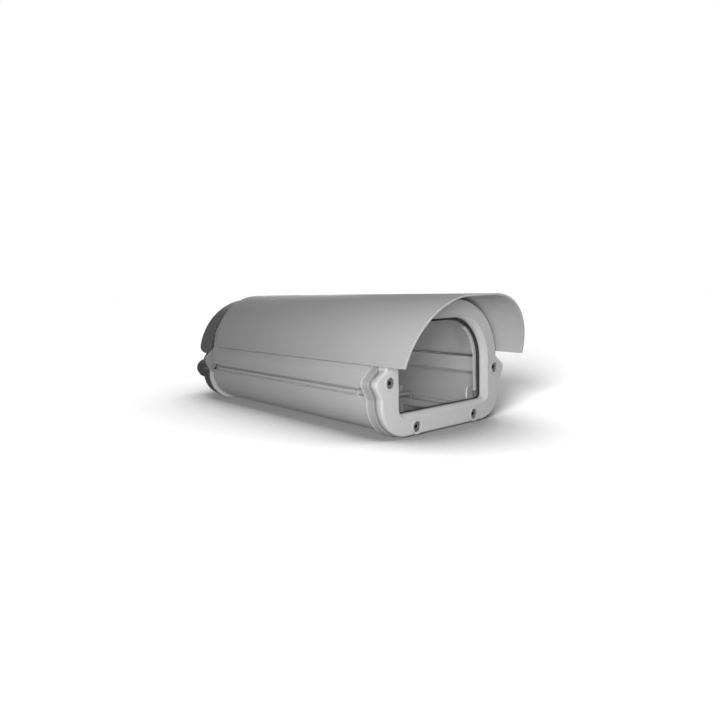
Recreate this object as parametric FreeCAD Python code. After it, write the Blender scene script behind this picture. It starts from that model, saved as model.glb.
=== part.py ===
import FreeCAD, Part
import math
import os

# A side-opening aluminium housing for an outdoor camera.
# +Z is up and the window faces -Y. The origin is on the floor, under the middle of the housing.
# Every size is in millimetres.

# Lower shell, extruded. Its half width and the height of its land lead the other sizes.
body_length = 243.0
shell_half = 66.5
shell_low_z = 2.0
shell_corner = 27.0         # radius of the two lower corners
shell_wall = 2.2
land_z = 36.5               # top of the far side, where the cover lands
hinge_land_drop = 4.0       # the hinge side ends this much lower
ledge_width = 8.3           # from the side to the thin wall that stands up inside the cover
lip_wall = 1.8
lip_rise = 16.0             # top of that wall above the land
web_rise = 5.5              # where the sloped web meets that wall, above the land
web_thickness = 2.8
ear_port_r = 3.4
port_r = 3.6
closing_flange_reach = 8.0  # from the side to the edge of the flange for the closing screws
closing_flange = 3.2

# The arch that the window, the front cap, the cover and the sunshield share
arch_flat = 28.0            # straight run across the top of every arch
arch_rise = 16.5            # height above the land where the arch starts to curve

# Cover, extruded, and the hinge along its -X edge
cover_overhang = 0.3        # the cover is this much wider than the shell, on each side
cover_wall = 1.8
cover_bend_drop = 3.0       # the sides lean inwards from this far below the arch's centre
cover_lean = 4.3            # how far they lean in
cover_end_gap = 0.4
cover_seat_gap = 0.5        # between the shell's land and the cover
cover_flange = 2.5
hinge_drop = 2.1            # the hinge's centre below the land
hinge_bead_r = 1.9
hinge_clearance = 0.08
hinge_socket_wall = 1.1
hinge_neck = 1.3
hinge_neck_root = 3.0       # how far the neck runs up inside the cover's wall
hinge_groove = 0.8          # open groove between the socket and the cover's lower edge
hinge_inset = 12.0          # the hinge stops this far short of each end of the shell
socket_from = -148.0        # the socket wraps the bead between these angles
socket_to = 68.0

# Closing screws on the far side
closing_screw_edge = 3.5    # from the screw to the edge of the flanges
closing_screw_r = 2.0
closing_screw_hole = 2.4
closing_screw_end = 45.0    # distance from each end of the shell
closing_screw_past = 1.5    # how far the screw comes through the lower flange
closing_head_r = 3.1
closing_head = 6.5
closing_head_gap = 0.1

# Front cap and its frame, rear frame and rear cap
cap_overhang = 3.5          # the frames are this much wider than the shell, on each side
cap_corner = 27.0
cap_arch_rise = 1.5         # the caps' arch stands this far over the cover
ear_reach = 5.0             # from the side of the cap to the tip of an ear
ear_low_drop = 5.5          # where an ear leaves the side, below the land
ear_tip = 4.0               # height of the flat tip
ear_tip_drop = 2.1          # its lower corner, below the ear screw
ear_top_rise = 2.0          # where an ear meets the arch, above the arch's centre
ear_round = 4.0
flange_thickness = 4.6
flange_inset = 1.0          # the window flange is this much smaller than the frame
flange_round = 2.2
channel_depth = 2.0         # of the channel between the flange and the frame
front_cap_depth = 17.0      # the window flange and the frame behind it
frame_thickness = 4.0       # the frame with the rear ears
frame_edge = 0.8            # chamfer along the frames' edges
collar_inset = 1.4          # the rear cap is this much smaller than its frame
collar_round = 1.0
rear_cap_depth = 18.0       # the rear frame and the cap behind it
rear_panel = 4.0            # wall that carries the glands
seat_width = 8.0            # from the window's side to the inner wall of the cap
seat_bottom = 7.2           # the same, below the window
room_wall = 8.0             # the caps are wider inside, below the ear screws
room_corner = 20.0
end_gasket = 1.0
gasket_trim = 0.3

# Domed hood of the rear cap, over the glands
hood_flat = 16.0            # straight run across its top
hood_r = 60.0
hood_rise = 6.6             # centre of its curve above the land
hood_low_rise = 10.5        # its lower edge above the land
hood_depth = 12.0           # it stands out this far behind the panel
hood_wall = 3.0
hood_corner = 7.0
hood_round = 5.0

# Arched lips on the front cap and the rear frame, which carry the arch seals
spigot_length = 7.0
spigot_wall = 2.2
spigot_rise = 3.0           # their lower ends above the arch's centre
spigot_gap = 1.2            # room between lip and cover for the seal
arch_seal_width = 4.0
seal_gap = 0.3
joint_seal_width = 1.8
joint_seal_groove = 1.8
joint_seal_inset = 0.2      # from the cover's inner face to the seal

# Cap screws
ear_screw_inset = 9.8       # from the side of the cap
ear_screw_rise = 1.6        # above the place where the sloped web meets the inner wall
bottom_screw_inset = 10.6   # from a rail's groove to a bottom screw
bottom_screw_z = 7.4
cap_screw_r = 2.0
cap_screw_bite = 12.0       # length inside the shell's port
cap_screw_head_r = 3.6
cap_screw_head = 3.4
counterbore_r = 4.2
counterbore_depth = 4.2
boss_r = 5.8
boss_rise = 0.8
hole_clearance = 0.3        # over the radius of a screw that passes through
thread_clearance = 0.05     # over the radius of a screw that is held

# Window
window_frame = 15.0         # from the side of the cap's arch to the window
window_low_z = 18.0
window_corner = 4.0
window_bevel = 3.0          # slope round the opening's front edge
reveal_depth = 8.0
gasket_inner = 0.6          # how far the window gasket starts behind the opening's edge
glass_overlap = 2.2
window_gasket_thickness = 0.8
glass_thickness = 3.2
clip_thickness = 1.2
clip_low_half = 3.6
clip_low_edge = 2.4         # from the screw to the clip's outer end, at the bottom
clip_low_reach = 15.0       # from the screw to the clip's inner end
clip_low_inset = 8.0        # from the window's side to a bottom clip's screw
clip_low_drop = 4.6         # from the window's lower edge to that screw
clip_top_half = 1.9
clip_top_edge = 1.2
clip_top_reach = 4.4
clip_top_angle = 42.0
clip_top_out = 4.6          # from the window's curved edge to a top clip's screw
clip_boss_r = 2.1
clip_screw_r = 1.0
clip_screw_depth = 6.0
clip_screw_gap = 0.5        # the screw ends this far short of its hole
clip_screw_head_r = 1.8
clip_screw_head = 1.2

# Sunshield
shield_space = 4.0          # air between the cover and the sunshield
shield_wall = 1.5
shield_low_rise = 3.5       # its lower edges above the arch's centre
shield_front_low = 23.0     # in front of the window flange, at the lower corners
shield_front_top = 37.8     # the same, at the top
shield_back_low = 12.0      # short of the rear frame, at the lower corners
shield_back_top = 5.0
channel_half = 12.5
channel_wall = 1.6
channel_lip = 1.2
channel_mouth = 7.0
channel_clearance = 0.3
channel_front = 45.0        # behind the window flange
channel_length = 190.0
shield_nut_length = 40.0
shield_nut_thickness = 2.1
shield_nut_clearance = 0.1
shield_screw_r = 2.0
shield_screw_head_r = 3.8
shield_screw_head = 2.6
shield_screw_pitch = 24.0
shield_nut_front = 80.0
shield_nut_rear = 200.0

# Camera sled and its rails
rail_inset = 22.5           # from the side of the shell to a rail's groove
rail_rib = 2.0
rail_reach = 3.0
rail_seat_z = 8.0
rail_slot = 2.4
rail_top_z = 12.2
sled_gap = 0.2
sled_sheet = 2.0
sled_foot = 3.5             # from the sled's side wall to the rail's groove
sled_top_z = 16.0
sled_length = 120.0
sled_start = 62.0           # behind the front end of the shell
sled_slot_r = 3.4
sled_slot_length = 70.0
adapter_slot_x = 20.0
adapter_slot_r = 2.2
adapter_slot_length = 30.0
lock_screw_r = 2.0
lock_screw_inset = 12.0
lock_screw_gap = 0.1        # between its tip and the port below
lock_head_r = 5.0
lock_head = 5.0
camera_stud_r = 3.1
camera_neck_r = 2.6         # undercut that runs in the sled's slot
camera_neck_past = 0.3
camera_stud_rise = 7.0
camera_head_r = 8.0
camera_head = 4.2

# Bracket plate on the floor of the shell
bracket_side_gap = 1.8      # between the plate and the ports of the bottom screws
bracket_plate = 4.0
bracket_length = 84.0
bracket_hole_r = 2.5
bracket_hole_edge = 8.0     # from the plate's side to its holes
bracket_spacing_y = 50.0
floor_hole_r = 3.3
bracket_screw_r = 1.5
bracket_screw_head_r = 3.0
bracket_screw_y = 36.0

# Terminal block and earth screw
block_side_gap = 4.8        # between the block and the ports of the bottom screws
block_depth = 14.0
block_height = 13.0
block_ways = 6
block_back = 12.0           # from the rear end of the shell
block_screw_edge = 3.0      # from the block's end to its mounting screw
block_screw_seat = 4.0      # under the heads of its two mounting screws
way_edge = 5.5              # from a mounting screw to the first way
way_floor = 5.0             # under the pockets of the ways
way_wire_z = 4.0
way_wire_r = 1.6
way_pocket_r = 2.4
way_screw_r = 1.7
way_screw_length = 4.0
way_head_rise = 0.5         # head over shank, in radius
small_screw_r = 1.5
small_head_r = 2.6
small_head = 1.8
floor_screw_gap = 0.2       # a floor screw ends this far above the underside
earth_screw_r = 2.0
earth_head_r = 3.8
earth_head = 2.4
earth_back = 5.5
earth_x = 14.0

# Cable glands
gland_side = 12.0           # from the inner wall of the cap to the outer glands
gland_z = 28.5
gland_r = 8.0
gland_flats = 22.0
gland_bore = 6.0
gland_washer = 1.5
gland_washer_r = 10.5
gland_hex = 6.0
gland_neck_r = 8.6
gland_neck = 12.0
gland_locknut = 5.0
gland_locknut_flats = 20.0
gland_thread = 5.5          # inside the locknut and a little past it
gland_nut_gap = 0.3
gland_nut_hex = 16.0
gland_nut_dome = 14.0
gland_nut_mouth = 5.2
gland_nut_end_r = 7.0
gland_nut_fit = 0.1
gland_nut_room = 2.0        # free thread past the neck
insert_bore = 4.5
insert_fit = 0.05
insert_length = 13.0
insert_rise = 1.5           # past the end of the neck

# Heights and half widths that follow from the shell's
arch_z = land_z + arch_rise
hinge_land_z = land_z - hinge_land_drop
hinge_z = land_z - hinge_drop
web_top_z = land_z + web_rise
lip_top_z = land_z + lip_rise
lip_outer_x = shell_half - ledge_width
closing_flange_half = shell_half + closing_flange_reach
closing_screw_x = closing_flange_half - closing_screw_edge
cover_half = shell_half + cover_overhang
cover_arch_half = cover_half - cover_lean
cover_bend_z = arch_z - cover_bend_drop
cover_top = arch_z + cover_arch_half - arch_flat / 2.0
cap_half = shell_half + cap_overhang
cap_arch_half = cover_arch_half + cap_arch_rise
room_half = cap_half - room_wall
ear_screw_x = cap_half - ear_screw_inset
ear_screw_z = web_top_z + ear_screw_rise
ear_tip_x = cap_half + ear_reach
ear_low_z = land_z - ear_low_drop
ear_tip_z = ear_screw_z - ear_tip_drop
ear_top_z = arch_z + ear_top_rise
spigot_low_z = arch_z + spigot_rise
hood_low_z = land_z + hood_low_rise
window_half = cap_arch_half - window_frame
shield_half = cover_arch_half + shield_space + shield_wall
shield_low_z = arch_z + shield_low_rise
rail_half = shell_half - rail_inset
sled_web_half = rail_half - sled_foot
bottom_screw_x = rail_half - bottom_screw_inset
bracket_half = bottom_screw_x - port_r - bracket_side_gap
bracket_spacing_x = 2.0 * (bracket_half - bracket_hole_edge)
block_half = bottom_screw_x - port_r - block_side_gap
block_screw_x = block_half - block_screw_edge
gland_x = room_half - gland_side

# Places along the housing
shell_start = front_cap_depth + end_gasket
shell_end = shell_start + body_length
frame_start = shell_end + end_gasket
frame_end = frame_start + frame_thickness
panel_y = frame_start + rear_cap_depth
gland_reach = gland_washer + gland_hex + gland_nut_gap + gland_nut_hex + gland_nut_dome
flange_y = (shield_front_top - panel_y - gland_reach) / 2.0


def y_at(distance):
    """Y of a place that lies this far behind the window flange."""
    return flange_y + distance


def point(x, z):
    return FreeCAD.Vector(x, 0, z)


def line(start, end):
    return Part.LineSegment(point(*start), point(*end)).toShape()


def arc(centre, radius, start, end):
    """Arc in the XZ plane, angles in degrees from +X towards +Z."""
    ends = []
    for angle in (start, (start + end) / 2.0, end):
        turn = math.radians(angle)
        ends.append(point(centre[0] + radius * math.cos(turn), centre[1] + radius * math.sin(turn)))
    return Part.Arc(*ends).toShape()


def along_y(edges, front, back):
    """Closed outline, carried along Y between two distances behind the window flange."""
    face = Part.Face(Part.Wire(edges))
    face.translate(FreeCAD.Vector(0, y_at(front), 0))
    return face.extrude(FreeCAD.Vector(0, back - front, 0))


def polygon(points):
    return [line(a, b) for a, b in zip(points, points[1:] + points[:1])]


def block(x0, x1, front, back, z0, z1):
    return Part.makeBox(x1 - x0, back - front, z1 - z0, FreeCAD.Vector(x0, y_at(front), z0))


def rod(x, z, radius, front, back):
    """Cylinder along Y."""
    return Part.makeCylinder(radius, back - front, FreeCAD.Vector(x, y_at(front), z), FreeCAD.Vector(0, 1, 0))


def post(x, distance, radius, z0, z1):
    """Cylinder along Z."""
    return Part.makeCylinder(radius, z1 - z0, FreeCAD.Vector(x, y_at(distance), z0))


def hexagon(x, z, flats, front, back):
    """Six-sided prism along Y, with flats to the sides."""
    corner = flats / math.sqrt(3.0)
    corners = []
    for step in range(6):
        turn = math.radians(30 + 60 * step)
        corners.append((x + corner * math.cos(turn), z + corner * math.sin(turn)))
    return along_y(polygon(corners), front, back)


def join(shapes):
    return shapes[0].multiFuse(shapes[1:]).removeSplitter()


def cut(shape, tools):
    return shape.cut(Part.makeCompound(tools)).removeSplitter()


def mirrored(shape):
    return shape.mirror(FreeCAD.Vector(0, 0, 0), FreeCAD.Vector(1, 0, 0))


def both(shape):
    return [shape, mirrored(shape)]


def edges_along_y(shape, x, z):
    """Edges that run along Y through the point x, z."""
    found = []
    for edge in shape.Edges:
        a, b = edge.Vertexes[0].Point, edge.Vertexes[-1].Point
        if max(abs(a.x - x), abs(b.x - x), abs(a.z - z), abs(b.z - z)) < 0.01:
            found.append(edge)
    return found


def flat_end(shape, distance):
    """The flat face at this distance behind the window flange."""
    y = y_at(distance)
    for face in shape.Faces:
        box = face.BoundBox
        if abs(box.YMin - y) < 0.01 and abs(box.YMax - y) < 0.01:
            return face
    raise ValueError("no flat end there")


def rounded_end(shape, distance, radius):
    """Rounds the outer rim of the flat end at this distance."""
    return shape.makeFillet(radius, flat_end(shape, distance).OuterWire.Edges)


def chamfered_end(shape, distance, size):
    """Bevels the outer rim of the flat end at this distance."""
    return shape.makeChamfer(size, flat_end(shape, distance).OuterWire.Edges)


def pan(half, low, corner, top, front, back):
    """Flat-bottomed trough form with two round lower corners."""
    outline = [
        line((half, top), (-half, top)),
        line((-half, top), (-half, low + corner)),
        arc((-half + corner, low + corner), corner, 180, 270),
        line((-half + corner, low), (half - corner, low)),
        arc((half - corner, low + corner), corner, 270, 360),
        line((half, low + corner), (half, top)),
    ]
    return along_y(outline, front, back)


def arch(half, low, front, back, corner=0.0):
    """Arched form on the common arch, with square or round lower corners."""
    centre = arch_flat / 2.0
    radius = half - centre
    top = arch_z + radius
    outline = [
        line((half, low + corner), (half, arch_z)),
        arc((centre, arch_z), radius, 0, 90),
        line((centre, top), (-centre, top)),
        arc((-centre, arch_z), radius, 90, 180),
        line((-half, arch_z), (-half, low + corner)),
    ]
    if corner > 0:
        outline.append(arc((-half + corner, low + corner), corner, 180, 270))
    outline.append(line((-half + corner, low), (half - corner, low)))
    if corner > 0:
        outline.append(arc((half - corner, low + corner), corner, 270, 360))
    return along_y(outline, front, back)


def window_form(grow, front, back):
    return arch(window_half + grow, window_low_z - grow, front, back, window_corner + grow)


def cover_form(inset, low, front, back):
    """The cover's outline: upright sides, a lean inwards above the bend, then the arch."""
    centre = arch_flat / 2.0
    outer_r = cover_arch_half - centre
    reach = math.hypot(cover_half - centre, cover_bend_z - arch_z)
    lean = math.atan2(cover_bend_z - arch_z, cover_half - centre) + math.acos(outer_r / reach)
    radius = outer_r - inset
    side = cover_half - inset
    bend = arch_z + (radius - (side - centre) * math.cos(lean)) / math.sin(lean)
    start = (centre + radius * math.cos(lean), arch_z + radius * math.sin(lean))
    top = arch_z + radius
    degrees = math.degrees(lean)
    outline = [
        line((side, low), (side, bend)),
        line((side, bend), start),
        arc((centre, arch_z), radius, degrees, 90),
        line((centre, top), (-centre, top)),
        arc((-centre, arch_z), radius, 90, 180 - degrees),
        line((-start[0], start[1]), (-side, bend)),
        line((-side, bend), (-side, low)),
        line((-side, low), (side, low)),
    ]
    return along_y(outline, front, back)


# Screws and small turned pieces, made along +Z and then put in place


def socket_screw(radius, length, head_r, head):
    """Cap screw: the head rises from z 0, the shank goes down."""
    shank = Part.makeCylinder(radius, length, FreeCAD.Vector(0, 0, -length))
    crown = Part.makeCylinder(head_r, head)
    crown = crown.makeChamfer(0.1 * head_r, [e for e in crown.Edges if abs(e.BoundBox.ZMin - head) < 0.01])
    socket = 0.5 * head_r
    corners = []
    for step in range(7):
        turn = math.radians(60 * step)
        corners.append(FreeCAD.Vector(socket * math.cos(turn), socket * math.sin(turn), 0.4 * head))
    recess = Part.Face(Part.makePolygon(corners)).extrude(FreeCAD.Vector(0, 0, head))
    return shank.fuse(crown).removeSplitter().cut(recess)


def thumb_screw(radius, length, head_r, head):
    """Knurled screw with a coin slot: scallops round the head, the shank goes down."""
    shank = Part.makeCylinder(radius, length, FreeCAD.Vector(0, 0, -length))
    crown = Part.makeCylinder(head_r, head)
    crown = crown.makeChamfer(0.12 * head_r, [e for e in crown.Edges if abs(e.BoundBox.ZMin - head) < 0.01])
    scallops = []
    for step in range(10):
        turn = math.radians(36 * step)
        middle = FreeCAD.Vector(1.08 * head_r * math.cos(turn), 1.08 * head_r * math.sin(turn), 0.2 * head)
        scallops.append(Part.makeCylinder(0.18 * head_r, head, middle))
    corner = FreeCAD.Vector(-1.5 * head_r, -0.14 * head_r, 0.7 * head)
    slot = Part.makeBox(3 * head_r, 0.28 * head_r, head, corner)
    return shank.fuse(crown).removeSplitter().cut(Part.makeCompound(scallops + [slot]))


def countersunk_screw(radius, length, head_r):
    """Flat head: the wide end is at z 0, all of it lies below."""
    cone = head_r - radius
    head = Part.makeCone(radius, head_r, cone, FreeCAD.Vector(0, 0, -cone))
    shank = Part.makeCylinder(radius, length - cone, FreeCAD.Vector(0, 0, -length))
    corner = FreeCAD.Vector(-1.5 * head_r, -0.25 * radius, -0.4 * radius)
    slot = Part.makeBox(3 * head_r, 0.5 * radius, radius, corner)
    return shank.fuse(head).removeSplitter().cut(slot)


def placed(shape, x, distance, z, facing):
    """Turns the +Z of a screw to where its head faces, and moves it to its seat."""
    copy = shape.copy()
    turn = FreeCAD.Rotation(FreeCAD.Vector(0, 0, 1), facing)
    copy.Placement = FreeCAD.Placement(FreeCAD.Vector(x, y_at(distance), z), turn)
    return copy


forward = FreeCAD.Vector(0, -1, 0)
backward = FreeCAD.Vector(0, 1, 0)
upward = FreeCAD.Vector(0, 0, 1)
downward = FreeCAD.Vector(0, 0, -1)


# Caps


def cap_screw_places():
    return [
        (-ear_screw_x, ear_screw_z),
        (ear_screw_x, ear_screw_z),
        (-bottom_screw_x, bottom_screw_z),
        (bottom_screw_x, bottom_screw_z),
    ]


def ear(inset, front, back):
    inner_x = window_half
    tip_x = ear_tip_x - inset
    corners = [
        (inner_x, ear_low_z + inset),
        (cap_half - inset, ear_low_z + inset),
        (tip_x, ear_tip_z),
        (tip_x, ear_tip_z + ear_tip),
        (cap_arch_half - inset, ear_top_z - inset),
        (inner_x, ear_top_z - inset),
    ]
    lobe = along_y(polygon(corners), front, back)
    tips = edges_along_y(lobe, tip_x, ear_tip_z) + edges_along_y(lobe, tip_x, ear_tip_z + ear_tip)
    return lobe.makeFillet(ear_round, tips)


def plain_cap_form(inset, front, back):
    """Solid form of a cap: flat-bottomed trough and the arch."""
    lower = pan(cap_half - inset, inset, cap_corner - inset, ear_low_z + inset, front, back)
    return join([lower, arch(cap_arch_half, ear_low_z + inset, front, back)])


def cap_form(inset, front, back):
    """The same with an ear on each side."""
    return join([plain_cap_form(inset, front, back)] + both(ear(inset, front, back)))


def cap_chamber(front, back):
    """Room inside a cap, wider below the ear screws."""
    low = window_low_z - seat_bottom
    tall = arch(window_half + seat_width, low, front, back, window_corner + seat_width)
    return join([tall, pan(room_half, low, room_corner, land_z, front, back)])


def arch_band(outer_half, inner_half, low, front, back):
    """Strip bent along the arch, square at its two lower ends."""
    outer = arch(outer_half, arch_z - 1.0, front, back)
    inner = arch(inner_half, arch_z - 2.0, front - 1.0, back + 1.0)
    below = block(-outer_half - 1.0, outer_half + 1.0, front - 1.0, back + 1.0, arch_z - 3.0, low)
    return cut(outer, [inner, below])


def spigot(front, back):
    """Arched lip that reaches into the cover and carries the arch seal."""
    outer = cover_arch_half - cover_wall - spigot_gap
    return arch_band(outer, outer - spigot_wall, spigot_low_z, front, back)


def clip_places():
    """Screw places of the glass clips, with the angle each clip points to."""
    turn = math.radians(clip_top_angle)
    centre = arch_flat / 2.0
    radius = window_half - centre + clip_top_out
    top_x = centre + radius * math.cos(turn)
    top_z = arch_z + radius * math.sin(turn)
    low_x = window_half - clip_low_inset
    low_z = window_low_z - clip_low_drop
    return [
        (low_x, low_z, 90.0),
        (-low_x, low_z, 90.0),
        (top_x, top_z, clip_top_angle + 180.0),
        (-top_x, top_z, -clip_top_angle),
    ]


def front_cap():
    """Window flange with a rounded rim, and the plain neck behind it that carries the glass."""
    flange = rounded_end(cap_form(flange_inset, 0.0, flange_thickness), 0.0, flange_round)
    neck = cap_form(flange_inset + channel_depth, flange_thickness, reveal_depth)
    casting = cut(join([flange, neck]), [window_form(0.0, -1.0, reveal_depth + 1.0)])
    opening = [wire for wire in flat_end(casting, 0.0).Wires if wire.BoundBox.XMax < window_half + 1.0]
    casting = casting.makeChamfer(window_bevel, opening[0].Edges)
    bosses = [rod(x, z, boss_r, -boss_rise, flange_thickness) for x, z in cap_screw_places()]
    clip_bosses = [rod(x, z, clip_boss_r, reveal_depth - 1.0, glass_back) for x, z, angle in clip_places()]
    casting = join([casting] + bosses + clip_bosses)
    tools = []
    for x, z in cap_screw_places():
        tools.append(rod(x, z, cap_screw_r + hole_clearance, -2.0, reveal_depth + 1.0))
        tools.append(rod(x, z, counterbore_r, -2.0, counterbore_depth))
    for x, z, angle in clip_places():
        thread_r = clip_screw_r + thread_clearance
        tools.append(rod(x, z, thread_r, glass_back - clip_screw_depth, glass_back + 1.0))
    return cut(casting, tools)


def frame_form(front, back, lip_front, lip_back):
    """Ring with two ears, and the arched lip that reaches into the cover."""
    ring = chamfered_end(cap_form(0.0, front, back), front, frame_edge)
    ring = chamfered_end(ring, back, frame_edge)
    tools = [cap_chamber(front - 1.0, back + 1.0)]
    for x, z in cap_screw_places():
        tools.append(rod(x, z, cap_screw_r + hole_clearance, front - 1.0, back + 1.0))
    return cut(join([ring, spigot(lip_front, lip_back)]), tools)


def front_frame():
    return frame_form(reveal_depth, front_cap_depth, front_cap_depth, front_cap_depth + spigot_length)


def rear_frame():
    return frame_form(frame_start, frame_end, frame_start - spigot_length, frame_start)


def hood_form(inset, front, back):
    """Nearly half round form with rounded lower corners."""
    centre = hood_flat / 2.0
    radius = hood_r - inset
    middle = land_z + hood_rise
    low = hood_low_z + inset
    lean = math.asin((low - middle) / radius)
    side = centre + radius * math.cos(lean)
    degrees = math.degrees(lean)
    outline = [
        arc((centre, middle), radius, degrees, 90),
        line((centre, middle + radius), (-centre, middle + radius)),
        arc((-centre, middle), radius, 90, 180 - degrees),
        line((-side, low), (side, low)),
    ]
    form = along_y(outline, front, back)
    corners = edges_along_y(form, side, low) + edges_along_y(form, -side, low)
    return form.makeFillet(hood_corner - inset, corners)


def rear_cap():
    start = frame_end
    back_face = panel_y - rear_panel
    collar = plain_cap_form(collar_inset, start, back_face)
    back = rounded_end(plain_cap_form(collar_inset, back_face, panel_y), panel_y, collar_round)
    hood_end = panel_y + hood_depth
    hood = rounded_end(hood_form(0.0, start, hood_end), hood_end, hood_round)
    columns = both(rod(ear_screw_x, ear_screw_z, boss_r, start, panel_y))
    middle_z = hood_low_z + hood_corner
    above = block(-cap_half, cap_half, start - 1.0, panel_y + 1.0, middle_z, arch_z + cap_half)
    casting = join([cut(join([collar, back]), [above]), hood] + columns)
    attic = hood_form(hood_wall, start + hood_wall, hood_end - hood_wall)
    tools = [cap_chamber(start - 1.0, back_face), attic]
    for x, z in cap_screw_places():
        tools.append(rod(x, z, cap_screw_r + hole_clearance, start - 1.0, panel_y + 1.0))
        tools.append(rod(x, z, counterbore_r, panel_y - counterbore_depth, hood_end + 1.0))
    for x in gland_places():
        tools.append(rod(x, gland_z, gland_r + thread_clearance, back_face - 1.0, panel_y + 1.0))
    return cut(casting, tools)


def cap_screw(cap_depth):
    length = cap_depth - counterbore_depth + end_gasket + cap_screw_bite
    return socket_screw(cap_screw_r, length, cap_screw_head_r, cap_screw_head)


def front_cap_screws():
    screw = cap_screw(front_cap_depth)
    return [placed(screw, x, counterbore_depth, z, forward) for x, z in cap_screw_places()]


def rear_cap_screws():
    screw = cap_screw(rear_cap_depth)
    return [placed(screw, x, panel_y - counterbore_depth, z, backward) for x, z in cap_screw_places()]


def end_gasket_form(front, back):
    """Flat seal between a cap and the end of the lower shell."""
    trim = gasket_trim
    outer = pan(shell_half - trim, shell_low_z + trim, shell_corner - trim, hinge_land_z - trim, front, back)
    tools = [cap_chamber(front - 1.0, back + 1.0)]
    for x, z in cap_screw_places():
        tools.append(rod(x, z, cap_screw_r + thread_clearance, front - 1.0, back + 1.0))
    return cut(join([outer] + both(sloped_web(hinge_land_z, front, back))), tools)


def arch_seal(front, back):
    inside = cover_arch_half - cover_wall
    return arch_band(inside - seal_gap, inside - spigot_gap, spigot_low_z, front, back)


# Window


gasket_back = reveal_depth + window_gasket_thickness
glass_back = gasket_back + glass_thickness
clip_back = glass_back + clip_thickness


def window_gasket():
    outer = window_form(glass_overlap, reveal_depth, gasket_back)
    return outer.cut(window_form(gasket_inner, reveal_depth - 1.0, gasket_back + 1.0))


def window_glass():
    return window_form(glass_overlap, gasket_back, glass_back)


def tongue(half, edge, reach):
    """Clip that lies along +X from its screw hole, with a round inner end."""
    inner = reach - half
    outline = [
        line((-edge, -half), (inner, -half)),
        arc((inner, 0.0), half, -90, 90),
        line((inner, half), (-edge, half)),
        line((-edge, half), (-edge, -half)),
    ]
    clip = along_y(outline, glass_back, clip_back)
    return clip.cut(rod(0.0, 0.0, clip_screw_r + thread_clearance, glass_back - 1.0, clip_back + 1.0))


def glass_clips():
    low = tongue(clip_low_half, clip_low_edge, clip_low_reach)
    top = tongue(clip_top_half, clip_top_edge, clip_top_reach)
    clips = []
    for x, z, angle in clip_places():
        clip = low.copy() if z < arch_z else top.copy()
        clip.rotate(FreeCAD.Vector(0, 0, 0), FreeCAD.Vector(0, -1, 0), angle)
        clip.translate(point(x, z))
        clips.append(clip)
    return clips


def glass_clip_screws():
    length = clip_thickness + clip_screw_depth - clip_screw_gap
    screw = socket_screw(clip_screw_r, length, clip_screw_head_r, clip_screw_head)
    return [placed(screw, x, clip_back, z, backward) for x, z, angle in clip_places()]


# Lower shell


hinge_x = hinge_bead_r - cover_half
hinge_start = shell_start + hinge_inset
hinge_end = shell_end - hinge_inset
seal_x = cover_half - cover_wall + joint_seal_inset


def socket():
    """Open round channel that holds the hinge bead."""
    bore = hinge_bead_r + hinge_clearance
    outer = bore + hinge_socket_wall
    centre = (hinge_x, hinge_z)

    def rim(radius, angle):
        turn = math.radians(angle)
        return (centre[0] + radius * math.cos(turn), centre[1] + radius * math.sin(turn))

    outline = [
        arc(centre, outer, socket_from, socket_to),
        line(rim(outer, socket_to), rim(bore, socket_to)),
        arc(centre, bore, socket_to, socket_from),
        line(rim(bore, socket_from), rim(outer, socket_from)),
    ]
    return along_y(outline, hinge_start, hinge_end)


def rail(front, back):
    """Groove on the floor that guides one edge of the sled."""
    floor = shell_low_z + shell_wall - 0.5
    outer = rail_half + rail_rib
    foot = block(rail_half - rail_reach, outer, front, back, floor, rail_seat_z)
    rib = block(rail_half, outer, front, back, floor, rail_top_z)
    lip = block(rail_half - rail_reach, outer, front, back, rail_seat_z + rail_slot, rail_top_z)
    return join([foot, rib, lip])


def sloped_web(side_z, front, back):
    """Web from the top of a side wall up to the wall inside the cover, and that wall."""
    side = shell_half - 0.5 * shell_wall
    lip_inner = lip_outer_x - lip_wall
    low = web_top_z - web_thickness
    outline = [
        (side, side_z - web_thickness),
        (side, side_z),
        (lip_outer_x, web_top_z),
        (lip_inner, web_top_z),
        (lip_inner, low),
    ]
    lip = block(lip_inner, lip_outer_x, front, back, low, lip_top_z)
    port = rod(ear_screw_x, ear_screw_z, ear_port_r, front, back)
    return join([along_y(polygon(outline), front, back), lip, port])


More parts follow.
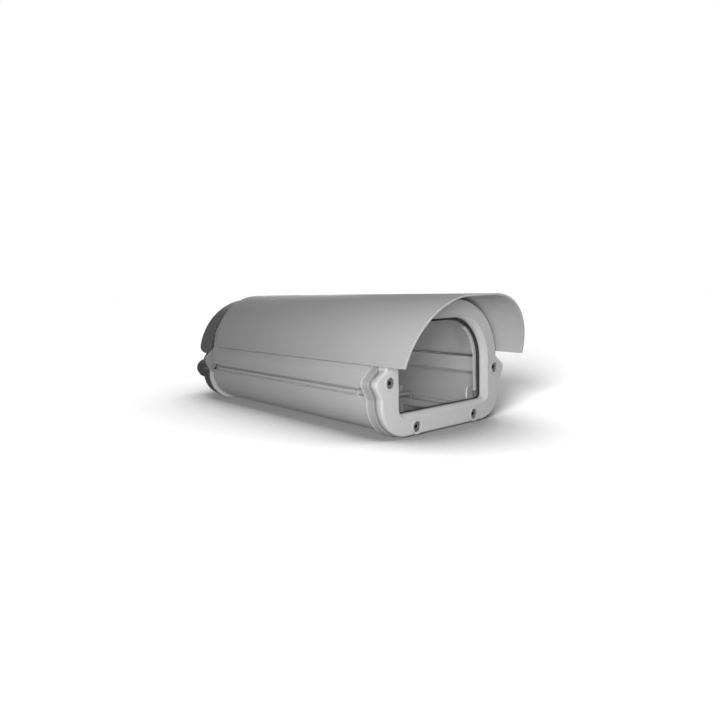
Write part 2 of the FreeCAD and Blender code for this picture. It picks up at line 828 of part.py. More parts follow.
def lower_shell():
    front, back = shell_start, shell_end
    outer = pan(shell_half, shell_low_z, shell_corner, land_z, front, back)
    inner_low = shell_low_z + shell_wall
    inner_half = shell_half - shell_wall
    inner_corner = shell_corner - shell_wall
    inner = pan(inner_half, inner_low, inner_corner, land_z + 1.0, front - 1.0, back + 1.0)
    hinge_room = block(-shell_half - 1.0, 0.0, front - 1.0, back + 1.0, hinge_land_z, land_z + 1.0)
    trough = cut(outer, [inner, hinge_room])
    far_web = sloped_web(land_z, front, back)
    near_web = mirrored(sloped_web(hinge_land_z, front, back))
    wall_inner = shell_half - 0.5 * shell_wall
    flange = block(wall_inner, closing_flange_half, front, back, land_z - closing_flange, land_z)
    pieces = [trough, far_web, near_web, flange, socket()]
    pieces += both(rail(front, back))
    pieces += both(rod(bottom_screw_x, bottom_screw_z, port_r, front, back))
    tools = [rod(hinge_x, hinge_z, hinge_bead_r + hinge_clearance, front - 1.0, back + 1.0)]
    for x, z in cap_screw_places():
        tools.append(rod(x, z, cap_screw_r + thread_clearance, front - 1.0, back + 1.0))
    groove_z = land_z - joint_seal_groove
    tools.append(block(seal_x, seal_x + joint_seal_width, front - 1.0, back + 1.0, groove_z, land_z + 1.0))
    under = land_z - closing_flange - 1.0
    for distance in closing_screw_places():
        tools.append(post(closing_screw_x, distance, closing_screw_hole, under, land_z + 1.0))
    for x, distance in bracket_places():
        tools.append(post(x, distance, floor_hole_r, 0.0, inner_low + 0.5))
    cone = bracket_screw_head_r - bracket_screw_r
    for distance in bracket_screw_places():
        tools.append(post(0.0, distance, bracket_screw_r + thread_clearance, 0.0, inner_low + 0.5))
        seat = FreeCAD.Vector(0, y_at(distance), shell_low_z)
        tools.append(Part.makeCone(bracket_screw_head_r, bracket_screw_r, cone, seat))
    for x, distance, radius in floor_screw_places():
        tools.append(post(x, distance, radius + thread_clearance, 0.0, inner_low + 0.5))
    return cut(join(pieces), tools)


def joint_seal():
    top = land_z + cover_seat_gap - seal_gap
    return block(seal_x, seal_x + joint_seal_width, shell_start, shell_end, land_z - joint_seal_groove, top)


# Cover


def closing_screw_places():
    return [shell_start + closing_screw_end, shell_end - closing_screw_end]


def shield_screw_places():
    half = shield_screw_pitch / 2.0
    return [nut + side for nut in (shield_nut_front, shield_nut_rear) for side in (-half, half)]


def upper_shell():
    front = front_cap_depth + cover_end_gap
    back = frame_start - cover_end_gap
    far_low = land_z + cover_seat_gap
    near_low = hinge_z + hinge_bead_r + hinge_clearance + hinge_socket_wall + hinge_groove
    outer = cover_form(0.0, far_low, front, back)
    inner = cover_form(cover_wall, far_low - 1.0, front - 1.0, back + 1.0)
    near_room = block(-cover_half - 1.0, 0.0, front - 1.0, back + 1.0, far_low - 1.0, near_low)
    skin = cut(outer, [inner, near_room])
    wall_middle = cover_half - cover_wall / 2.0
    flange = block(wall_middle, closing_flange_half, front, back, far_low, far_low + cover_flange)
    neck_half = hinge_neck / 2.0
    neck_top = near_low + hinge_neck_root
    neck = block(hinge_x - neck_half, hinge_x + neck_half, hinge_start, hinge_end, hinge_z, neck_top)
    bead = rod(hinge_x, hinge_z, hinge_bead_r, hinge_start, hinge_end)
    tools = []
    over = far_low + cover_flange + 1.0
    for distance in closing_screw_places():
        tools.append(post(closing_screw_x, distance, closing_screw_r + hole_clearance, far_low - 1.0, over))
    under = cover_top - cover_wall - 1.0
    for distance in shield_screw_places():
        tools.append(post(0.0, distance, shield_screw_r + hole_clearance, under, cover_top + 1.0))
    return cut(join([skin, flange, neck, bead]), tools)


def closing_screw(distance):
    seat = land_z + cover_seat_gap + cover_flange + closing_head_gap
    length = seat - (land_z - closing_flange) + closing_screw_past
    screw = thumb_screw(closing_screw_r, length, closing_head_r, closing_head)
    return placed(screw, closing_screw_x, distance, seat, upward)


# Sunshield


channel_base = cover_top + channel_clearance


def sunshield():
    front = -shield_front_top
    back = frame_start - shield_back_top
    outer = arch(shield_half, arch_z - 10.0, front, back)
    inner = arch(shield_half - shield_wall, arch_z - 11.0, front - 1.0, back + 1.0)
    top = arch_z + shield_half - arch_flat / 2.0
    slant = [
        FreeCAD.Vector(-shield_half - 1.0, y_at(-shield_front_low), shield_low_z),
        FreeCAD.Vector(-shield_half - 1.0, y_at(-shield_front_top), top),
        FreeCAD.Vector(-shield_half - 1.0, y_at(back), top),
        FreeCAD.Vector(-shield_half - 1.0, y_at(frame_start - shield_back_low), shield_low_z),
    ]
    profile = Part.Face(Part.makePolygon(slant + slant[:1]))
    sheet = outer.cut(inner).common(profile.extrude(FreeCAD.Vector(2 * shield_half + 2.0, 0, 0)))
    start, end = channel_front, channel_front + channel_length
    inner_side = channel_half - channel_wall
    side = block(inner_side, channel_half, start, end, channel_base, top - 0.5 * shield_wall)
    lip = block(channel_mouth, channel_half, start, end, channel_base, channel_base + channel_lip)
    return join([sheet] + both(side) + both(lip))


def shield_nuts():
    """Flat plates with two threaded holes, held in the sunshield's channel."""
    low = channel_base + channel_lip + shield_nut_clearance
    high = low + shield_nut_thickness
    half = channel_half - channel_wall - 2 * shield_nut_clearance
    reach = shield_nut_length / 2.0
    step = shield_screw_pitch / 2.0
    thread_r = shield_screw_r + thread_clearance
    plates = []
    for middle in (shield_nut_front, shield_nut_rear):
        plate = block(-half, half, middle - reach, middle + reach, low, high)
        holes = [post(0.0, middle + side, thread_r, low - 1.0, high + 1.0) for side in (-step, step)]
        plates.append(cut(plate, holes))
    return plates


def shield_screws():
    seat = cover_top - cover_wall
    nut_top = channel_base + channel_lip + shield_nut_clearance + shield_nut_thickness
    screw = socket_screw(shield_screw_r, nut_top - seat, shield_screw_head_r, shield_screw_head)
    return [placed(screw, 0.0, distance, seat, downward) for distance in shield_screw_places()]


# Camera sled


sled_front = shell_start + sled_start
sled_middle = sled_front + sled_length / 2.0


def slot_post(x, middle, radius, length, z0, z1):
    """Long hole along Y with round ends."""
    half = length / 2.0 - radius
    ends = [post(x, middle + side, radius, z0, z1) for side in (-half, half)]
    return join(ends + [block(x - radius, x + radius, middle - half, middle + half, z0, z1)])


def lock_screw_places():
    return [
        (-bottom_screw_x, sled_front + sled_length - lock_screw_inset),
        (bottom_screw_x, sled_front + lock_screw_inset),
    ]


def camera_sled():
    front, back = sled_front, sled_front + sled_length
    low = rail_seat_z + sled_gap
    edge = rail_half - sled_gap
    inner = sled_web_half - sled_sheet
    foot = block(inner, edge, front, back, low, low + sled_sheet)
    wall = block(inner, sled_web_half, front, back, low, sled_top_z)
    table = block(-sled_web_half, sled_web_half, front, back, sled_top_z - sled_sheet, sled_top_z)
    tray = join([table] + both(foot) + both(wall))
    under = sled_top_z - sled_sheet - 1.0
    over = sled_top_z + 1.0
    tools = [slot_post(0.0, sled_middle, sled_slot_r, sled_slot_length, under, over)]
    for x in (-adapter_slot_x, adapter_slot_x):
        tools.append(slot_post(x, sled_middle, adapter_slot_r, adapter_slot_length, under, over))
    for x, distance in lock_screw_places():
        tools.append(post(x, distance, lock_screw_r + thread_clearance, under, over))
    return cut(tray, tools)


def sled_lock_screws():
    port_top = bottom_screw_z + port_r
    length = sled_top_z - port_top - lock_screw_gap
    screw = thumb_screw(lock_screw_r, length, lock_head_r, lock_head)
    return [placed(screw, x, distance, sled_top_z, upward) for x, distance in lock_screw_places()]


def camera_screw():
    seat = sled_top_z - sled_sheet - sled_gap
    neck = sled_top_z + camera_neck_past - seat
    screw = thumb_screw(camera_neck_r, neck, camera_head_r, camera_head)
    thread = camera_stud_rise - camera_neck_past
    stud = Part.makeCylinder(camera_stud_r, thread, FreeCAD.Vector(0, 0, -neck - thread))
    return placed(join([screw, stud]), 0.0, sled_middle, seat, downward)


# Bracket plate


bracket_middle = (shell_start + shell_end) / 2.0


def bracket_places():
    places = []
    for x in (-bracket_spacing_x / 2.0, bracket_spacing_x / 2.0):
        for y in (-bracket_spacing_y / 2.0, bracket_spacing_y / 2.0):
            places.append((x, bracket_middle + y))
    return places


def bracket_screw_places():
    return [bracket_middle - bracket_screw_y, bracket_middle + bracket_screw_y]


def bracket_plate_form():
    low = shell_low_z + shell_wall
    high = low + bracket_plate
    reach = bracket_length / 2.0
    plate = block(-bracket_half, bracket_half, bracket_middle - reach, bracket_middle + reach, low, high)
    tools = [post(x, distance, bracket_hole_r, low - 1.0, high + 1.0) for x, distance in bracket_places()]
    for distance in bracket_screw_places():
        tools.append(post(0.0, distance, bracket_screw_r + thread_clearance, low - 1.0, high + 1.0))
    return cut(plate, tools)


def bracket_plate_screws():
    length = shell_wall + bracket_plate
    screw = countersunk_screw(bracket_screw_r, length, bracket_screw_head_r)
    return [placed(screw, 0.0, distance, shell_low_z, downward) for distance in bracket_screw_places()]


# Terminal block and earth screw


block_end = shell_end - block_back
block_middle = block_end - block_depth / 2.0


def floor_screw_places():
    places = [(x, block_middle, small_screw_r) for x in (-block_screw_x, block_screw_x)]
    return places + [(earth_x, shell_end - earth_back, earth_screw_r)]


def way_places():
    first = block_screw_x - way_edge
    pitch = 2.0 * first / (block_ways - 1)
    return [pitch * step - first for step in range(block_ways)]


block_foot = shell_low_z + shell_wall


def terminal_block():
    low = block_foot
    top = low + block_height
    body = block(-block_half, block_half, block_end - block_depth, block_end, low, top)
    tools = []
    for x in (-block_screw_x, block_screw_x):
        tools.append(post(x, block_middle, small_screw_r + thread_clearance, low - 1.0, top + 1.0))
        tools.append(post(x, block_middle, small_head_r + hole_clearance, low + block_screw_seat, top + 1.0))
    for x in way_places():
        tools.append(post(x, block_middle, way_pocket_r, low + way_floor, top + 1.0))
        tools.append(rod(x, low + way_wire_z, way_wire_r, block_end - block_depth - 1.0, block_end + 1.0))
    return cut(body, tools)


def terminal_screws():
    seat = block_foot + way_floor + way_screw_length
    screw = countersunk_screw(way_screw_r, way_screw_length, way_screw_r + way_head_rise)
    return [placed(screw, x, block_middle, seat, upward) for x in way_places()]


def terminal_block_screws():
    length = shell_wall + block_screw_seat - floor_screw_gap
    screw = socket_screw(small_screw_r, length, small_head_r, small_head)
    seat = block_foot + block_screw_seat
    return [placed(screw, x, block_middle, seat, upward) for x in (-block_screw_x, block_screw_x)]


def earth_screw():
    screw = socket_screw(earth_screw_r, shell_wall - floor_screw_gap, earth_head_r, earth_head)
    return placed(screw, earth_x, shell_end - earth_back, block_foot, upward)


# Cable glands


def gland_places():
    return [-gland_x, 0.0, gland_x]


washer_y = panel_y + gland_washer
neck_y = washer_y + gland_hex
nut_y = neck_y + gland_nut_gap


def gland_body(x):
    inside = panel_y - rear_panel - gland_thread
    stub = rod(x, gland_z, gland_r, inside, washer_y)
    hex_part = hexagon(x, gland_z, gland_flats, washer_y, neck_y)
    neck = rod(x, gland_z, gland_neck_r, neck_y, neck_y + gland_neck)
    bore = rod(x, gland_z, gland_bore, inside - 1.0, neck_y + gland_neck + 1.0)
    return cut(join([stub, hex_part, neck]), [bore])


def gland_washer_ring(x):
    ring = rod(x, gland_z, gland_washer_r, panel_y, washer_y)
    return ring.cut(rod(x, gland_z, gland_r + thread_clearance, panel_y - 1.0, washer_y + 1.0))


def gland_locknut_form(x):
    back = panel_y - rear_panel
    nut = hexagon(x, gland_z, gland_locknut_flats, back - gland_locknut, back)
    return nut.cut(rod(x, gland_z, gland_r + thread_clearance, back - gland_locknut - 1.0, back + 1.0))


def gland_insert(x):
    end = neck_y + gland_neck + insert_rise
    sleeve = rod(x, gland_z, gland_bore - insert_fit, end - insert_length, end)
    return sleeve.cut(rod(x, gland_z, insert_bore, end - insert_length - 1.0, end + 1.0))


def gland_nut(x):
    """Six-sided nut with a domed, open end."""
    dome_start = nut_y + gland_nut_hex
    end = dome_start + gland_nut_dome
    crown_r = gland_flats / 2.0
    step = crown_r - gland_nut_end_r
    outline = [
        (nut_y, 0.0),
        (nut_y, crown_r),
        (dome_start, crown_r),
        (dome_start + 0.5 * gland_nut_dome, crown_r - 0.2 * step),
        (dome_start + 0.85 * gland_nut_dome, crown_r - 0.6 * step),
        (end, gland_nut_end_r),
        (end, 0.0),
        (nut_y, 0.0),
    ]
    profile = Part.makePolygon([FreeCAD.Vector(x, y_at(y), gland_z + radius) for y, radius in outline])
    core = Part.Face(profile).revolve(FreeCAD.Vector(x, 0, gland_z), FreeCAD.Vector(0, 1, 0), 360)
    nut = join([core, hexagon(x, gland_z, gland_flats, nut_y, dome_start)])
    thread_end = neck_y + gland_neck + gland_nut_fit + gland_nut_room
    thread = rod(x, gland_z, gland_neck_r + gland_nut_fit, nut_y - 1.0, thread_end)
    return cut(nut, [thread, rod(x, gland_z, gland_nut_mouth, nut_y - 1.0, end + 1.0)])


def pieces():
    """Every piece by name. A list is one name for several like pieces."""
    made = {
        "lower_shell": lower_shell(),
        "front_cap": front_cap(),
        "front_frame": front_frame(),
        "rear_frame": rear_frame(),
        "rear_cap": rear_cap(),
        "front_gasket": end_gasket_form(front_cap_depth, shell_start),
        "rear_gasket": end_gasket_form(shell_end, frame_start),
        "front_arch_seal": arch_seal(
            front_cap_depth + (spigot_length - arch_seal_width) / 2.0,
            front_cap_depth + (spigot_length + arch_seal_width) / 2.0,
        ),
        "rear_arch_seal": arch_seal(
            frame_start - (spigot_length + arch_seal_width) / 2.0,
            frame_start - (spigot_length - arch_seal_width) / 2.0,
        ),
        "joint_seal": joint_seal(),
        "front_cap_screws": front_cap_screws(),
        "rear_cap_screws": rear_cap_screws(),
        "window_gasket": window_gasket(),
        "window_glass": window_glass(),
        "glass_clips": glass_clips(),
        "glass_clip_screws": glass_clip_screws(),
        "bracket_plate": bracket_plate_form(),
        "bracket_plate_screws": bracket_plate_screws(),
        "terminal_block": terminal_block(),
        "terminal_screws": terminal_screws(),
        "terminal_block_screws": terminal_block_screws(),
        "earth_screw": earth_screw(),
        "gland_bodies": [gland_body(x) for x in gland_places()],
        "gland_washers": [gland_washer_ring(x) for x in gland_places()],
        "gland_locknuts": [gland_locknut_form(x) for x in gland_places()],
        "gland_inserts": [gland_insert(x) for x in gland_places()],
        "gland_nut_left": gland_nut(-gland_x),
        "gland_nut_middle": gland_nut(0.0),
        "gland_nut_right": gland_nut(gland_x),
        "upper_shell": upper_shell(),
        "closing_screw_front": closing_screw(closing_screw_places()[0]),
        "closing_screw_rear": closing_screw(closing_screw_places()[1]),
        "sunshield": sunshield(),
        "shield_nuts": shield_nuts(),
        "shield_screws": shield_screws(),
        "camera_sled": camera_sled(),
        "sled_lock_screws": sled_lock_screws(),
        "camera_screw": camera_screw(),
    }
    return made


os.makedirs("parts", exist_ok=True)
for name, shape in pieces().items():
    solids = shape if isinstance(shape, list) else [shape]
    whole = Part.makeCompound(solids) if len(solids) > 1 else solids[0]
    whole.exportStep(os.path.join("parts", name + ".step"))
    print(name, len(whole.Solids), "solid(s)", whole.isValid(), round(whole.Volume / 1000.0, 2), "cm3")
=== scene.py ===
# %% [markdown]
# # A camera housing of painted aluminium
# The object is an outdoor housing for a fixed camera. A long extruded trough carries a hinged, arched cover.
# A cast cap closes each end, a flat glass sits in the front one, and a bent sheet shades the whole length.
# The solids come from the construction model, so this lesson is mostly about finishes, light and small forms.

# %% Load the frame
import math

import bmesh
import bpy
from mathutils import Matrix, Vector


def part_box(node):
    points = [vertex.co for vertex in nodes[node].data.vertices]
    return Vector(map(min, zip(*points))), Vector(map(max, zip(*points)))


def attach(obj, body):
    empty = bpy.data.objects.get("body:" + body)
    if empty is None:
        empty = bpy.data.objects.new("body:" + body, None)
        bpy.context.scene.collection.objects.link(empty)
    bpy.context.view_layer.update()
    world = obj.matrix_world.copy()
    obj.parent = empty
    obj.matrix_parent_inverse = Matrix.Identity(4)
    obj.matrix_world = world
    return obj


MM = 0.001
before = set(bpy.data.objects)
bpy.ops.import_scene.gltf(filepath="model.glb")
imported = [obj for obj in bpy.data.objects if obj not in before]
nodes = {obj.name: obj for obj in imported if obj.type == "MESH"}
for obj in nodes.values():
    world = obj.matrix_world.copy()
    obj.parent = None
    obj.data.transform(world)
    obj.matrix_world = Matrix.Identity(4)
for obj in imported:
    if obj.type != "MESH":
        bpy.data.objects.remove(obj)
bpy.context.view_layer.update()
print("pieces from the construction model:", len(nodes))

# %% [markdown]
# ## The camera
# A picture taken close to a long object shows strong perspective, so the lens and the distance matter
# together. The camera stands in front of the left corner, a little above the housing, and is rolled slightly
# about its view. Its place comes from three angles and a distance, because each of these can be corrected
# alone. A small shift of the lens keeps the object where the picture has it.
#
# The point that the camera looks at is counted from the window's flange. The bosses round the cap screws
# stand a little in front of the flange, so their rise is taken off the box of the front cap.

# %% Place the camera
image_px = 720
focal_px = 631.5
view_centre_px = (348.5, 345.4)
azimuth, elevation, roll = math.radians(-39.4), math.radians(5.3), math.radians(1.4)
distance = 588.1 * MM
boss_rise = 0.8 * MM
flange_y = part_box("front_cap")[0].y + boss_rise
looked_at = Vector((0, flange_y + 120 * MM, 60 * MM))
back = Vector(
    (
        math.sin(azimuth) * math.cos(elevation),
        -math.cos(azimuth) * math.cos(elevation),
        math.sin(elevation),
    )
)
level_right = (-back).cross(Vector((0, 0, 1))).normalized()
level_up = level_right.cross(-back)
right = level_right * math.cos(roll) - level_up * math.sin(roll)
up = level_right * math.sin(roll) + level_up * math.cos(roll)

camera_data = bpy.data.cameras.new("camera")
camera_data.sensor_width = 36
camera_data.lens = camera_data.sensor_width * focal_px / image_px
camera_data.shift_x = (image_px / 2 - view_centre_px[0]) / image_px
camera_data.shift_y = (view_centre_px[1] - image_px / 2) / image_px
camera_data.clip_start = 0.01
camera = bpy.data.objects.new("camera", camera_data)
bpy.context.collection.objects.link(camera)
turn = Matrix((right, up, back)).transposed().to_4x4()
camera.matrix_world = Matrix.Translation(looked_at + back * distance) @ turn
bpy.context.scene.camera = camera
print("lens in mm:", round(camera_data.lens, 1), "height in mm:", round(camera.location.z / MM))

# %% [markdown]
# ## Two helpers for node trees
# A material in Blender is a tree of nodes. Two things are needed again and again in such a tree, so each gets
# a short function. One makes a node with its settings, and one maps a range of numbers to another range.


# %% Make nodes and map numbers
def shader_node(tree, kind, **settings):
    made = tree.nodes.new("ShaderNode" + kind)
    for name, value in settings.items():
        setattr(made, name, value)
    return made


def mapped(tree, value, from_range, to_range, **settings):
    made = shader_node(tree, "MapRange", **settings)
    made.inputs["From Min"].default_value, made.inputs["From Max"].default_value = from_range
    made.inputs["To Min"].default_value, made.inputs["To Max"].default_value = to_range
    tree.links.new(value, made.inputs["Value"])
    return made.outputs["Result"]


print("node helpers ready")

# %% [markdown]
# ## Colours, sums and noise
# A colour is made darker or paler by multiplying it, which a Mix node does in its multiply mode. A Math node
# does the sums, with a plain number or another node on its second socket. A noise pattern reads the Object
# coordinates, so it is fixed to the piece and moves with it.


# %% Multiply, do sums and make noise
def times(tree, colour, amount):
    mix = shader_node(tree, "Mix", data_type="RGBA", blend_type="MULTIPLY")
    mix.inputs["Factor"].default_value = 1.0
    tree.links.new(colour, mix.inputs["A"])
    tree.links.new(amount, mix.inputs["B"])
    return mix.outputs["Result"]


def combined(tree, operation, first, second):
    made = shader_node(tree, "Math", operation=operation)
    tree.links.new(first, made.inputs[0])
    if isinstance(second, float):
        made.inputs[1].default_value = second
    else:
        tree.links.new(second, made.inputs[1])
    return made.outputs[0]


def noise(tree, place, per_metre, detail):
    made = shader_node(tree, "TexNoise")
    made.inputs["Scale"].default_value = per_metre
    made.inputs["Detail"].default_value = detail
    tree.links.new(place, made.inputs["Vector"])
    return made.outputs["Fac"]


print("colour, sum and noise helpers ready")

# %% [markdown]
# ## Crevices
# Shade gathers where two pieces meet, and here it is painted into the colour. An ambient occlusion node tells
# how open the surroundings of a point are within a short reach, so it finds those crevices and the colour is
# darker there as painted shade.

# %% Shade the crevices
closed_in, open_enough = 0.25, 0.75


def crevice_shade(tree, reach_mm, darkest):
    nearby = shader_node(tree, "AmbientOcclusion", samples=6)
    nearby.inputs["Distance"].default_value = reach_mm * MM
    return mapped(tree, nearby.outputs["AO"], (closed_in, open_enough), (darkest, 1.0))


print("crevices are darkest below an openness of", closed_in)

# %% [markdown]
# ## Painted highlights on edges
# Real edges are never knife sharp, so a Bevel node bends the normal over a fraction of a millimetre at each
# edge. Where the bent normal turns away from the true one there is an edge, and the colour there is made
# paler as a painted highlight. The shape of the piece stays as it is.

# %% Paint highlights on the edges
still_flat, fully_edge = 0.995, 0.9


def painted_edge_highlights(tree, colour, rounded, gain):
    flat = shader_node(tree, "NewGeometry")
    turned = shader_node(tree, "VectorMath", operation="DOT_PRODUCT")
    tree.links.new(rounded, turned.inputs[0])
    tree.links.new(flat.outputs["Normal"], turned.inputs[1])
    return times(tree, colour, mapped(tree, turned.outputs["Value"], (still_flat, fully_edge), (1.0, gain)))


print("wear begins at", round(math.degrees(math.acos(still_flat)), 1), "degrees of bend")

# %% [markdown]
# ## Bands
# Some pieces get painted light and shade that changes along their length or height. A band names an axis,
# two places on it in millimetres, and the gain at each of them. Between the places the gain changes softly,
# and beyond them it stays as it is at the nearer one, so two bands are enough to draw a single line.


# %% Lay a band over a colour
def band_along(tree, colour, place, band):
    axis, from_mm, to_mm, from_gain, to_gain = band
    parts = shader_node(tree, "SeparateXYZ")
    tree.links.new(place, parts.inputs[0])
    ends = (from_mm * MM, to_mm * MM)
    gain = mapped(tree, parts.outputs[axis], ends, (from_gain, to_gain), interpolation_type="SMOOTHSTEP")
    return times(tree, colour, gain)


print("band helper ready")

# %% [markdown]
# ## Grain and drift
# A sprayed coat is never quite even, and a cast skin is rougher than an extruded one. Two noise patterns tell
# that. A slow one drifts the colour and the gloss a little, and a fast one lifts the surface by a few
# hundredths of a millimetre through a bump, which starts from the bent normals of the edges.

# %% Make the grain and the drift
slow_per_metre, slow_detail, fast_detail = 14, 4, 2
bump_strength = 0.6


def drifting_colour(tree, slow, colour, drift):
    tone = shader_node(tree, "Mix", data_type="RGBA")
    tone.inputs["A"].default_value = [c * (1 - drift) for c in colour] + [1]
    tone.inputs["B"].default_value = [min(1, c * (1 + drift)) for c in colour] + [1]
    tree.links.new(slow, tone.inputs["Factor"])
    return tone.outputs["Result"]


def grained(tree, place, grain_mm, depth_mm, rounded):
    bump = shader_node(tree, "Bump")
    bump.inputs["Strength"].default_value = bump_strength
    bump.inputs["Distance"].default_value = depth_mm * MM
    tree.links.new(noise(tree, place, 1 / (grain_mm * MM), fast_detail), bump.inputs["Height"])
    tree.links.new(rounded, bump.inputs["Normal"])
    return bump.outputs["Normal"]


print("the slow pattern changes about every", round(1 / slow_per_metre / MM), "mm")

# %% [markdown]
# ## A recipe for finishes
# Most surfaces here differ in three ways: how far light spreads, how fine the grain is and how even the
# colour is. One helper can build all of them on the Principled shader. What is the same all over, such as the
# metallic value, goes straight on the shader's own sockets. The defaults suit the paint, because most of the
# object is painted.

# %% Make the finish helper
slow_range = (0.3, 0.7)
gloss_drift = 0.05


def finish(
    name,
    colour,
    roughness,
    grain_mm,
    grain_depth,
    drift=0.05,
    metal=0.0,
    crevice=0.6,
    reach=3.5,
    painted_highlight=1.25,
    edge_mm=0.45,
    bands=(),
):
    material = bpy.data.materials.new(name)
    material.use_nodes = True
    tree = material.node_tree
    shader = tree.nodes["Principled BSDF"]
    shader.inputs["Metallic"].default_value = metal
    shader.inputs["Specular IOR Level"].default_value = 0.5 if metal else 0.3
    place = shader_node(tree, "TexCoord").outputs["Object"]
    edges = shader_node(tree, "Bevel", samples=4)
    edges.inputs["Radius"].default_value = edge_mm * MM
    rounded = edges.outputs["Normal"]

    slow = noise(tree, place, slow_per_metre, slow_detail)
    tone = drifting_colour(tree, slow, colour, drift)
    # painted shade in crevices, painted light and shade from the bands and painted highlights on edges go
    # into the colour
    shaded = times(tree, tone, crevice_shade(tree, reach, crevice))
    for band in bands:
        shaded = band_along(tree, shaded, place, band)
    tree.links.new(painted_edge_highlights(tree, shaded, rounded, painted_highlight), shader.inputs["Base Color"])
    gloss = mapped(tree, slow, slow_range, (roughness - gloss_drift, roughness + gloss_drift))
    tree.links.new(gloss, shader.inputs["Roughness"])
    tree.links.new(grained(tree, place, grain_mm, grain_depth, rounded), shader.inputs["Normal"])
    return material


print("finish helper ready")

# %% [markdown]
# ## Where light and shade are painted on
# A painted shadow draws a dark line along the seam above the hinge. One band darkens all that is below the
# upper side of the line, and a second one lifts it again below the lower side. The front frame has painted
# shade beside the cap and a painted highlight towards the trough. The rear frame has a painted highlight
# where it meets the trough and painted shade over its upper part, and painted shade makes the lower part of
# the rear hood nearly black.
#
# The places are counted from the pieces' own boxes, so a longer or taller housing keeps its bands.

# %% Set the bands
cover_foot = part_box("upper_shell")[0].z / MM
front_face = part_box("front_frame")[0].y / MM
rear_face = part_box("rear_frame")[1].y / MM
hood_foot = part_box("rear_cap")[0].z / MM
seam_shadow_line = [
    ("Z", cover_foot + 5.4, cover_foot + 4.7, 1.0, 0.62),
    ("Z", cover_foot + 3.5, cover_foot + 2.9, 1.0, 1.6),
]
front_ring_light_and_shade = [
    ("Y", front_face + 0.6, front_face + 2.6, 0.66, 0.9),
    ("Y", front_face + 5.2, front_face + 7.6, 1.0, 1.55),
]
rear_ring_light_and_shade = [
    ("Y", rear_face - 3.7, rear_face - 2.7, 2.7, 0.9),
    ("Z", hood_foot + 24.6, hood_foot + 32.6, 1.0, 0.5),
]
hood_lower_shade = [("Z", hood_foot + 24.6, hood_foot + 40.6, 0.45, 1.0)]
print("dark line from", round(seam_shadow_line[1][1], 1), "to", round(seam_shadow_line[0][2], 1), "mm above the ground")

# %% [markdown]
# ## Paint
# The extrusions and the sheet are powder coated, which leaves a faint orange peel about 1.6 mm from one bump
# to the next. The castings have the same coat over a rougher skin, so their grain is closer and deeper. The
# rear frame's coat is darkened as painted shade, and the rear hood is darker again, partly a darker coat and
# partly painted shade.


# %% Make the paints
def grey(level):
    return (level, level, level)


coat = {"roughness": 0.55, "grain_mm": 1.6, "grain_depth": 0.04}
bent_coat = {"roughness": 0.58, "grain_mm": 1.8, "grain_depth": 0.04}
skin = {"roughness": 0.5, "grain_mm": 1.1, "grain_depth": 0.09}
hood_skin = {"roughness": 0.5, "grain_mm": 1.1, "grain_depth": 0.1}
rear_shade = {"drift": 0.08, "crevice": 0.9, "bands": rear_ring_light_and_shade}
# In each finish, crevice sets the painted shade in crevices, the edge gain sets the painted highlight on
# edges, and bands add painted light and shade
finishes = {
    "cover": finish("powder_coat_on_cover", grey(0.52), **coat, crevice=0.95, bands=seam_shadow_line),
    # the longer reach paints contact shade along the shell's bottom edge, next to the floor
    "body": finish("powder_coat_on_shell", grey(0.52), **coat, reach=5.0),
    "sheet": finish("powder_coat_on_sheet", grey(0.465), **bent_coat, crevice=1.0, painted_highlight=1.5, edge_mm=0.8),
    "cast": finish("powder_coat_on_casting", grey(0.57), **skin),
    "frame_cast": finish("powder_coat_on_frame", grey(0.5), **skin, painted_highlight=1.1, bands=front_ring_light_and_shade),
    # rear frame: the cast coat darkened as painted shade; rear hood: a darker coat with painted shade
    "rear_cast": finish("shaded_powder_coat", grey(0.24), **skin, **rear_shade),
    "hood": finish("dark_coat_in_painted_shade", grey(0.16), **hood_skin, drift=0.2, bands=hood_lower_shade),
}
print("paints:", ", ".join(sorted(finishes)))

# %% [markdown]
# ## Bare and plated metal
# The cap screws are blackened steel and the other screws are bare stainless steel. The clips behind the glass
# are zinc plated, which is dull and pale. The sled and the plates inside are bare aluminium. Metal has hardly
# any grain, so its bump is only a hundredth or two of a millimetre deep.

# %% Make the metals
fine_metal = {"grain_mm": 0.4, "grain_depth": 0.01, "metal": 1.0}
plate_metal = {"grain_mm": 0.6, "grain_depth": 0.02, "metal": 1.0}
turned_metal = {"grain_mm": 0.5, "grain_depth": 0.01, "metal": 1.0}
plating = {"grain_mm": 0.6, "grain_depth": 0.02}
metals = {
    # the low crevice value paints shade into the sockets of the cap screws
    "black_steel": finish("blackened_steel", grey(0.3), roughness=0.42, crevice=0.2, **fine_metal),
    "steel": finish("stainless_steel", (0.56, 0.56, 0.57), roughness=0.3, **fine_metal),
    "zinc": finish("zinc_plate", grey(0.84), roughness=0.6, crevice=1.0, **plating),
    "aluminium": finish("bare_aluminium", (0.66, 0.66, 0.67), roughness=0.38, **plate_metal),
    "brass": finish("brass", (0.72, 0.55, 0.25), roughness=0.32, **turned_metal),
}
finishes.update(metals)
print("metals:", ", ".join(sorted(metals)))

# %% [markdown]
# ## Rubber, nylon and tape
# Seals are black rubber, which is matt and gets no painted highlight at its edges. The cable glands are dark
# nylon with a little more gloss. The terminal block is a pale plastic, and the tape beside the glass is pale
# too.

